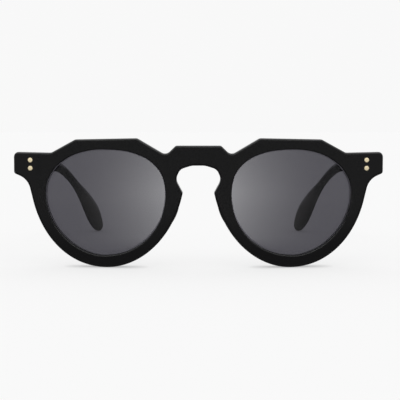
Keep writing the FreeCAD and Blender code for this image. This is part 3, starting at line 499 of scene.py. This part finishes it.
def pad_piece(side_name, finish):
    """A nose pad: superellipse sections along its lean, like half an almond, on the rim's rear."""
    share = -np.cos(np.linspace(0, math.pi, 41))
    fullness = np.sqrt(1 - (share * 0.995) ** 2)[:, None]
    middle_x = OPENING_EDGE - 4.0 + PAD_DROP * math.tan(PAD_LEAN)
    centre_x = middle_x - math.sin(PAD_LEAN) * PAD_LENGTH / 2 * share
    centre_z = WIDEST_LINE - PAD_DROP + math.cos(PAD_LEAN) * PAD_LENGTH / 2 * share
    ring = section(64, 2.2)
    across = ring[:, 0] * PAD_THICKNESS / 2 * fullness
    behind = ring[:, 1] * PAD_DEPTH / 2 * fullness
    x = centre_x[:, None] + across * math.cos(PAD_SPLAY) + behind * math.sin(PAD_SPLAY)
    # The sections' middles lie just inside the acetate, and what would go deeper is pressed flat.
    y = (FRONT_PLANE + sag(centre_x) + FRONT_THICKNESS - 0.4)[:, None]
    y = y - across * math.sin(PAD_SPLAY) + behind * math.cos(PAD_SPLAY)
    y = np.maximum(y, FRONT_PLANE + rear_depth(x) - 0.05)
    z = np.broadcast_to(centre_z[:, None], x.shape)
    grid = np.stack([SIDES[side_name] * x, y, z], axis=-1)
    vertices, faces = capped(grid, grid[0].mean(axis=0), grid[-1].mean(axis=0))
    return dress(side_name + "_pad", vertices, faces, finish, "front",
                 [side_name + "_nose_pad"], 40.0)


def directions(heading, pitch):
    """Unit steps to the rear that turn in towards the head by the heading and fall by the pitch."""
    return np.stack([-np.sin(heading) * np.cos(pitch), np.cos(heading) * np.cos(pitch),
                     -np.sin(pitch)], axis=1)


def temple_path(along):
    """Centre line of a temple: it falls a little, bends down over the ear and bows to the head.

    Its pitch and heading are straight ramps, and its points are the sums of small steps along
    them. With each point come the directions to its side, up and ahead.
    """
    fine = np.linspace(0, TEMPLE_LENGTH, 1201)
    pitch = FALL + BEND_ANGLE * ramp(fine, BEND_START, BEND_LENGTH)
    bow = ramp(fine, BOW_START, TEMPLE_LENGTH - BOW_START)
    heading = TURN_IN + (TIP_TURN_IN - TURN_IN) * bow
    steps = directions(heading, pitch) * (fine[1] - fine[0])
    start = np.array([TEMPLE_X, END_PLANE, TEMPLE_Z])
    line = start + np.vstack([np.zeros(3), np.cumsum(steps[:-1], axis=0)])
    point = np.stack([np.interp(along, fine, line[:, axis]) for axis in range(3)], axis=1)
    heading = np.interp(along, fine, heading)
    pitch = np.interp(along, fine, pitch)
    side = np.stack([np.cos(heading), np.sin(heading), np.zeros_like(heading)], axis=1)
    way = directions(heading, pitch)
    return point, side, np.cross(side, way), way


def temple_piece(side_name, finish):
    """A temple: superellipse sections carried along its centre line.

    The height narrows to the waist at the ear bend and widens to the tip, whose end is half an
    ellipse. At the front the sections stand square to the end piece and clear the knuckles.
    """
    hinge_part = 6.0
    tip = TIP_ROUND * (1 - np.sin(np.linspace(0, math.pi / 2, 26)))
    along = np.concatenate([np.arange(TEMPLE_GAP, hinge_part, 0.09),
                            np.arange(hinge_part, TEMPLE_LENGTH - TIP_ROUND, 1.1),
                            TEMPLE_LENGTH - tip])
    left = TEMPLE_LENGTH - along
    narrowing = ramp(along, 0, WAIST)
    widening = ramp(along, WIDENING_START, WIDENING_LENGTH)
    widening = widening ** 2 * (3 - 2 * widening)
    height = (TEMPLE_HEIGHT + (WAIST_HEIGHT - TEMPLE_HEIGHT) * narrowing ** 0.85
              + (TIP_HEIGHT - WAIST_HEIGHT) * widening)
    height = height * quarter_round(ramp(left, 0, TIP_ROUND))
    thickness = TEMPLE_THICKNESS + (TIP_THICKNESS - TEMPLE_THICKNESS) * narrowing
    thickness = thickness * quarter_round(ramp(left, 0, thickness / 2))
    shrink = TEMPLE_EDGE * (1 - quarter_round(ramp(along, TEMPLE_GAP, TEMPLE_EDGE)))
    point, side, up, way = temple_path(along)
    rise = (TIP_RISE - TIP_END_DROP * (1 - ramp(left, 0, TIP_END_LENGTH))) * widening
    hollow = HOLLOW_DEPTH * np.sin(math.pi * ramp(along, HOLLOW_START, HOLLOW_LENGTH))
    point = point + up * (rise - hollow)[:, None]
    ring = section(72, 2.7)
    grid = (point[:, None] + side[:, None] * (ring[:, :1] * (thickness / 2 - shrink)[:, None, None])
            + up[:, None] * (ring[:, 1:] * (height / 2 - shrink)[:, None, None]))
    # Near the front each section is sheared square to it, less and less between 3 and 9 mm.
    square = 1 - ramp(along, 3, 6)[:, None]
    slide = (point[:, 1:2] - grid[..., 1]) / way[:, 1:2] * square
    grid = grid + way[:, None] * slide[..., None]
    behind = np.clip(grid[..., 1] - HINGE.y, 0, KNUCKLE_CLEAR)
    clear = HINGE.x + np.sqrt(KNUCKLE_CLEAR ** 2 - behind ** 2)
    clear = np.where(grid[..., 1] < HINGE.y + KNUCKLE_CLEAR, clear, 0)
    grid[..., 0] = np.maximum(grid[..., 0], clear)
    grid[..., 0] *= SIDES[side_name]
    vertices, faces = capped(grid, grid[0].mean(axis=0))
    return dress(side_name + "_temple_acetate", vertices, faces, finish, BODIES[side_name],
                 [side_name + "_temple"], 40.0)


def metal_piece(node, finish, body):
    """A metal part as it was turned or stamped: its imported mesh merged, with its curves smooth."""
    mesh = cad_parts[node].data.copy()
    return settle(node + "_metal", mesh, finish, body, [node], 30.0)


def linear(code):
    """An sRGB hex colour as linear RGBA."""
    share = np.array([int(code[start:start + 2], 16) for start in (0, 2, 4)]) / 255
    tone = np.where(share <= 0.04045, share / 12.92, ((share + 0.055) / 1.055) ** 2.4)
    return (*tone.tolist(), 1.0)


def grey(level):
    """A neutral colour of this linear brightness."""
    return level, level, level, 1


def add(tree, kind, inputs, **settings):
    """One shader node with its settings; each input is a value or another node's output."""
    made = tree.nodes.new("ShaderNode" + kind)
    for key, value in settings.items():
        setattr(made, key, value)
    for key, value in inputs.items():
        if isinstance(value, bpy.types.NodeSocket):
            tree.links.new(value, made.inputs[key])
        else:
            made.inputs[key].default_value = value
    return made


def shaded(name, sockets):
    """A material whose Principled shader has these values on its own sockets."""
    material = bpy.data.materials.new(name)
    material.use_nodes = True
    shader = material.node_tree.nodes["Principled BSDF"]
    for key, value in sockets.items():
        shader.inputs[key].default_value = value
    return material, material.node_tree, shader


def polished_acetate(name, code, roughness):
    """Cellulose acetate, milled from sheet and polished by hand.

    The gloss is deep and wet, a little wavy where the buffing wheel dug in, with faint hair lines.
    """
    material, tree, shader = shaded(name, {"Base Color": linear(code), "IOR": 1.48})
    place = add(tree, "TexCoord", {})
    # Buffing waves about 14 mm long, and hair lines 0.4 mm apart, as fine as the render can show.
    wave = add(tree, "TexNoise", {"Vector": place.outputs["Object"], "Scale": 70.0, "Detail": 1.0})
    stretch = add(tree, "Mapping", {"Vector": place.outputs["Object"], "Scale": (0.25, 1.0, 1.0)})
    hair = add(tree, "TexNoise", {"Vector": stretch.outputs["Vector"], "Scale": 2500.0,
                                  "Detail": 3.0})
    gloss = add(tree, "MapRange", {"Value": hair.outputs["Fac"], "From Min": 0.3, "From Max": 0.7,
                                   "To Min": roughness, "To Max": roughness + 0.05})
    bump = add(tree, "Bump", {"Height": wave.outputs["Fac"], "Strength": 0.25, "Distance": 0.0004})
    # The walls that the lenses sit against are milled and not buffed.
    milled_roughness = 0.5
    milled = add(tree, "Attribute", {}, attribute_name="matt")
    dull = add(tree, "Math", {0: milled.outputs["Fac"], 1: milled_roughness,
                              2: gloss.outputs["Result"]}, operation="MULTIPLY_ADD")
    tree.links.new(dull.outputs["Value"], shader.inputs["Roughness"])
    tree.links.new(bump.outputs["Normal"], shader.inputs["Normal"])
    return material


def dyed_lens():
    """Cast resin, dyed grey all through: dark glass with a thin cold surface reflection."""
    return shaded("dyed_grey_resin", {"Base Color": linear("56555B"), "IOR": 1.5,
                                      "Transmission Weight": 1.0, "Roughness": 0.0})[0]


def tumbled_metal(name, code, roughness, grain):
    """Stamped or turned metal, tumbled: soft satin, a little lively from its fine grain."""
    material, tree, shader = shaded(name, {"Base Color": linear(code), "Metallic": 1.0})
    place = add(tree, "TexCoord", {})
    # The grain is 0.3 to 0.4 mm wide, as fine as the render can show.
    speck = add(tree, "TexNoise", {"Vector": place.outputs["Object"], "Scale": grain,
                                   "Detail": 3.0})
    gloss = add(tree, "MapRange", {"Value": speck.outputs["Fac"], "From Min": 0.3, "From Max": 0.7,
                                   "To Min": roughness, "To Max": roughness + 0.12})
    bump = add(tree, "Bump", {"Height": speck.outputs["Fac"], "Strength": 0.15,
                              "Distance": 0.00002})
    tree.links.new(gloss.outputs["Result"], shader.inputs["Roughness"])
    tree.links.new(bump.outputs["Normal"], shader.inputs["Normal"])
    return material


def sheet(name, corners, material):
    """A flat sheet of the studio, from its four corners in millimetres."""
    mesh = bpy.data.meshes.new(name)
    mesh.from_pydata([tuple(place * MM for place in corner) for corner in corners], [],
                     [(0, 1, 2, 3)])
    mesh.materials.append(material)
    made = bpy.data.objects.new(name, mesh)
    scene.collection.objects.link(made)
    return made


def card(name, distance, low, high, strength, falls, receivers):
    """An upright reflector card between two (x, z) corners, seen only in the receivers' gloss.

    It stands square to the view, a distance in front of the glasses. Its light is the product of
    its falls, each full at one place along an axis and gone at another, to a power.
    """
    y = FRONT_PLANE - distance
    material = bpy.data.materials.new(name)
    material.use_nodes = True
    tree = material.node_tree
    tree.nodes.clear()
    place = add(tree, "TexCoord", {})
    split = add(tree, "SeparateXYZ", {"Vector": place.outputs["Object"]})
    level = strength
    for axis, full, none, power in falls:
        fall = add(tree, "MapRange", {"Value": split.outputs[axis], "From Min": none * MM,
                                      "From Max": full * MM})
        curve = add(tree, "Math", {0: fall.outputs["Result"], 1: power}, operation="POWER")
        product = add(tree, "Math", {0: curve.outputs["Value"], 1: level}, operation="MULTIPLY")
        level = product.outputs["Value"]
    light = add(tree, "Emission", {"Strength": level})
    clear = add(tree, "BsdfTransparent", {})
    both = add(tree, "AddShader", {0: light.outputs["Emission"], 1: clear.outputs["BSDF"]})
    add(tree, "OutputMaterial", {"Surface": both.outputs["Shader"]})
    made = sheet(name, [(low[0], y, low[1]), (high[0], y, low[1]), (high[0], y, high[1]),
                        (low[0], y, high[1])], material)
    made.visible_camera = made.visible_diffuse = False
    made.visible_transmission = made.visible_shadow = False
    lit = bpy.data.collections.new(name + "_lit")
    for piece in receivers:
        lit.objects.link(piece)
    made.light_linking.receiver_collection = lit


front_acetate = polished_acetate("black_front_acetate", "0D0D0E", 0.07)
temple_acetate = polished_acetate("black_temple_acetate", "0D0D0E", 0.09)
pad_acetate = polished_acetate("black_pad_acetate", "101011", 0.14)
lens_resin = dyed_lens()
gilt_brass = tumbled_metal("pale_gilt_brass", "EFE0BC", 0.22, 3000.0)
nickel_silver = tumbled_metal("tumbled_nickel_silver", "C9C6BE", 0.3, 2500.0)
bright_steel = tumbled_metal("bright_screw_steel", "D2D3D4", 0.16, 3500.0)

front_piece(front_acetate)
lenses, front_rivets = {}, []
for side_name in SIDES:
    arm = BODIES[side_name]
    lenses[side_name] = lens_piece(side_name, lens_resin)
    pad_piece(side_name, pad_acetate)
    temple_piece(side_name, temple_acetate)
    for height in ("upper", "lower"):
        node = "%s_front_rivet_%s" % (side_name, height)
        front_rivets.append(metal_piece(node, gilt_brass, "front"))
    for place in ("front", "rear"):
        metal_piece("%s_temple_rivet_%s" % (side_name, place), gilt_brass, arm)
    metal_piece(side_name + "_front_hinge", nickel_silver, "front")
    metal_piece(side_name + "_temple_hinge", nickel_silver, arm)
    metal_piece(side_name + "_hinge_screw", bright_steel, "front")
    metal_piece(side_name + "_core_wire", nickel_silver, arm)

# What glossy surfaces mirror: the dim room behind the camera, and on the floor a painted shade,
# darker near the glasses.
ROOM_FRONT = 0.25
PAINTED_FLOOR_SHADE = 0.12
# What stands behind the glasses, seen by the camera and through the lenses, and the lamps above.
ROOM_BACK = 0.94
ROOM_TOP = 1.3

# The floor: a pale matt table that ends in front of the glasses, just outside the picture. Three
# quarters of its light is its own glow, so it stays even. Ambient occlusion darkens that glow near
# what touches it, a painted contact shadow, and the last quarter, lit by the room, keeps the real
# shadow.
FLOOR_REACH = 6000.0
FLOOR_FRONT = FRONT_PLANE - 230.0
FLOOR_DROP = 0.06
FLOOR_GLOW = 0.75
PAINTED_SHADOW_REACH = 5.0
PAINTED_SHADOW_TONE = 0.6
floor_material, tree, shader = shaded("pale_matt_floor", {
    "Base Color": linear("F6F6F6"), "Roughness": 1.0, "Specular IOR Level": 0.0})
# Painted contact shadow: the glow's strength falls with ambient occlusion within a few millimetres
# of the glasses.
contact_occlusion = add(tree, "AmbientOcclusion", {"Distance": PAINTED_SHADOW_REACH * MM}, samples=8)
painted_shadow_strength = add(tree, "MapRange", {"Value": contact_occlusion.outputs["AO"], "To Min": PAINTED_SHADOW_TONE, "To Max": 1.0})
glow = add(tree, "Emission", {"Color": linear("F9F9F9"), "Strength": painted_shadow_strength.outputs["Result"]})
lifted = add(tree, "MixShader", {0: FLOOR_GLOW, 1: shader.outputs["BSDF"],
                                 2: glow.outputs["Emission"]})
# A ray that was refracted by a lens is glossy too, but it sees the floor as the camera does.
rays = add(tree, "LightPath", {})
mirrored = add(tree, "Math", {0: rays.outputs["Is Glossy Ray"],
                              1: rays.outputs["Is Transmission Ray"]},
               operation="SUBTRACT", use_clamp=True)
# Glossy rays see the floor as a flat glow instead of its own light, dimmed towards the glasses: a
# painted shade in its reflection.
place = add(tree, "TexCoord", {})
split = add(tree, "SeparateXYZ", {"Vector": place.outputs["Object"]})
shade_by_depth = add(tree, "MapRange", {"Value": split.outputs["Y"], "From Min": FLOOR_FRONT * MM,
                             "From Max": (FRONT_PLANE - 50.0) * MM, "To Min": ROOM_FRONT,
                             "To Max": PAINTED_FLOOR_SHADE})
painted_shade = add(tree, "Emission", {"Strength": shade_by_depth.outputs["Result"]})
mixed = add(tree, "MixShader", {0: mirrored.outputs["Value"], 1: lifted.outputs["Shader"],
                                2: painted_shade.outputs["Emission"]})
tree.links.new(mixed.outputs["Shader"], tree.nodes["Material Output"].inputs["Surface"])
floor = sheet("floor", [
    (-FLOOR_REACH, FLOOR_FRONT, -FLOOR_DROP), (FLOOR_REACH, FLOOR_FRONT, -FLOOR_DROP),
    (FLOOR_REACH, FLOOR_REACH, -FLOOR_DROP), (-FLOOR_REACH, FLOOR_REACH, -FLOOR_DROP),
], floor_material)

# The room: pale behind the glasses, bright overhead, dim behind the camera.
world = bpy.data.worlds.new("studio")
scene.world = world
world.use_nodes = True
tree = world.node_tree
place = add(tree, "TexCoord", {})
split = add(tree, "SeparateXYZ", {"Vector": place.outputs["Generated"]})
back = add(tree, "MapRange", {"Value": split.outputs["Y"], "From Min": -0.1, "From Max": 0.6},
           interpolation_type="SMOOTHSTEP")
high = add(tree, "MapRange", {"Value": split.outputs["Z"], "From Min": 0.3, "From Max": 0.85},
           interpolation_type="SMOOTHSTEP")
room = add(tree, "MixRGB", {"Fac": back.outputs["Result"], "Color1": grey(ROOM_FRONT),
                            "Color2": grey(ROOM_BACK)})
studio = add(tree, "MixRGB", {"Fac": high.outputs["Result"], "Color1": room.outputs["Color"],
                              "Color2": grey(ROOM_TOP)})
rays = add(tree, "LightPath", {})
seen = add(tree, "Math", {0: rays.outputs["Is Camera Ray"],
                          1: rays.outputs["Is Transmission Ray"]}, operation="MAXIMUM")
view = add(tree, "MixRGB", {"Fac": seen.outputs["Value"], "Color1": studio.outputs["Color"],
                            "Color2": grey(ROOM_BACK)})
tree.links.new(view.outputs["Color"], tree.nodes["Background"].inputs["Color"])

# Each lens mirrors a glow on its nasal side, and the rivets' heads a wide pale card before them.
# The lens cards stand 1 mm apart, because two in one plane would hide each other.
for side_name, side in SIDES.items():
    card(side_name + "_lens_card", 9 + 0.5 * side, (-70, 0), (70, 80), 6.6, [
        ("X", 0.0, 60.0 * side, 2.24),
        ("X", 10.0 * side, -20.0 * side, 1.0),
        ("Z", 27.0, -25.0, 1.0),
        ("Z", 7.0, 0.0, 0.7),
        ("Z", 30.0, 73.0, 1.0),
    ], [lenses[side_name]])
card("rivet_card", 300, (-400, 1), (400, 300), 0.75, [("Z", 30.0, -400.0, 1.0)], front_rivets)

# The camera, 400 mm in front of the glasses and 55 mm above the floor.
camera_data = bpy.data.cameras.new("camera")
camera_data.lens = 94.78
camera_data.sensor_width = 36.0
camera_data.shift_x = 0.0039
camera = bpy.data.objects.new("camera", camera_data)
camera.location = (0, (FRONT_PLANE - 400.0) * MM, 55.16 * MM)
camera.rotation_euler = (math.pi / 2 - 0.0725, 0, 0)
scene.collection.objects.link(camera)
scene.camera = camera
